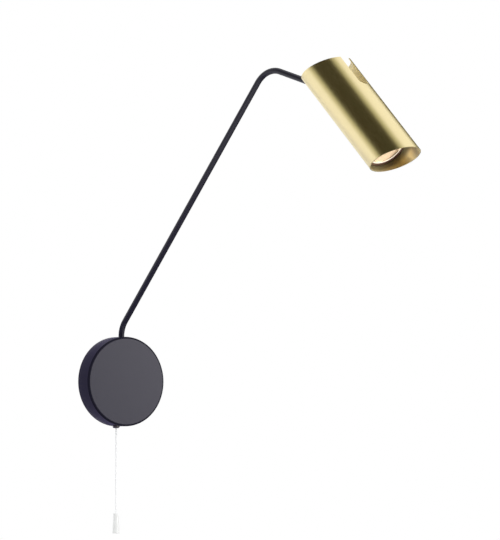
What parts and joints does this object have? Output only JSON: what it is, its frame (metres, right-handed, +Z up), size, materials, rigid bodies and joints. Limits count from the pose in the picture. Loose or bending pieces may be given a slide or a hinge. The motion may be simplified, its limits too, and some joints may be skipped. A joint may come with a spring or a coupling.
{
  "type": "wall spotlight",
  "caption": "Wall spotlight: round black wall cup with a pull cord, bent swivelling black arm and a slant-cut, slotted brass tube shade that tilts and holds a reflector lamp.",
  "frame": {"origin": "on the wall plane, midway between the two wall screws, on the axis of the round cup", "axes": "+Z up, +Y into the wall, so the lamp stands out along -Y, +X to the right as seen facing the wall"},
  "size_m": [0.1506, 0.4552, 0.5093],
  "materials": {
    "black_powder_coat": "satin black powder coat",
    "brass": "polished, lacquered",
    "zinc_steel": "bright zinc plate",
    "cast_block": "as cast",
    "contact_brass": "plain",
    "grommet_rubber": "matt",
    "white_nylon": "matt",
    "natural_polyamide": "matt",
    "switch_moulding": "matt",
    "outlet_black": "gloss black",
    "brown_insulation": "smooth",
    "blue_insulation": "smooth",
    "white_cord": "braided",
    "white_pull": "smooth",
    "porcelain": "glazed porcelain",
    "lamp_shell": "dark brown, matt",
    "lens_glass": "frosted, warm",
    "carrier_alloy": "turned"
  },
  "bodies": {
    "base": {"wall_bracket": "zinc_steel", "bracket_lugs": "zinc_steel", "cable_grommet": "grommet_rubber", "wall_cup": "black_powder_coat", "hook_tab": "zinc_steel", "cup_screw": "zinc_steel", "stem_block": "cast_block", "weld_studs": "zinc_steel", "stud_nuts": "zinc_steel", "stem_bush": "white_nylon", "stop_pin": "zinc_steel", "terminal_block": "natural_polyamide", "terminal_inserts": "contact_brass", "terminal_screws": "zinc_steel", "terminal_fixing_screw": "zinc_steel", "earth_washer": "contact_brass", "earth_screw": "contact_brass", "switch_case": "switch_moulding", "switch_cover": "switch_moulding", "outlet_nut": "outlet_black", "switch_contacts": "contact_brass", "neutral_lead": "blue_insulation", "live_lead": "brown_insulation", "supply_lead": "brown_insulation", "return_spring": "zinc_steel"},
    "arm": {"arm_tube": "black_powder_coat", "arm_core_live": "brown_insulation", "arm_core_neutral": "blue_insulation", "stem_clip": "zinc_steel", "friction_washer": "white_nylon", "wave_washer": "zinc_steel", "stop_collar": "zinc_steel", "collar_screw": "zinc_steel", "stem_nut": "zinc_steel", "arm_knuckle": "zinc_steel", "knuckle_screw": "zinc_steel", "pivot_screws": "zinc_steel", "pivot_washers": "white_nylon"},
    "head": {"shade_tube": "brass", "head_yoke": "zinc_steel", "yoke_screws": "zinc_steel", "head_carrier": "carrier_alloy", "carrier_screws": "zinc_steel", "lampholder": "porcelain", "holder_screws": "zinc_steel", "lamp_body": "lamp_shell", "lamp_lens": "lens_glass", "lamp_pins": "zinc_steel", "head_leads": "brown_insulation"},
    "pull": {"switch_plunger": "white_nylon", "contact_bridge": "contact_brass", "cord_end": "white_cord", "pull_cord": "white_cord", "cord_pull": "white_pull", "cord_knot": "white_cord"}
  },
  "joints": [
    {"name": "arm_swivel", "type": "hinge", "parent": "base", "child": "arm", "pos_m": [0, -0.011, 0], "axis": [0, 0, 1], "range_deg": [-90, 70]},
    {"name": "head_tilt", "type": "hinge", "parent": "arm", "child": "head", "pos_m": [0.06138, -0.3591, 0.29813], "axis": [0.9848, 0.1736, 0], "range_deg": [-117, 63]},
    {"name": "pull_slide", "type": "slide", "parent": "base", "child": "pull", "axis": [0, 0, -1], "range_m": [0, 0.007], "stiffness_N_per_m": 400, "springref_m": -0.004, "deforming": ["return_spring"]}
  ]
}
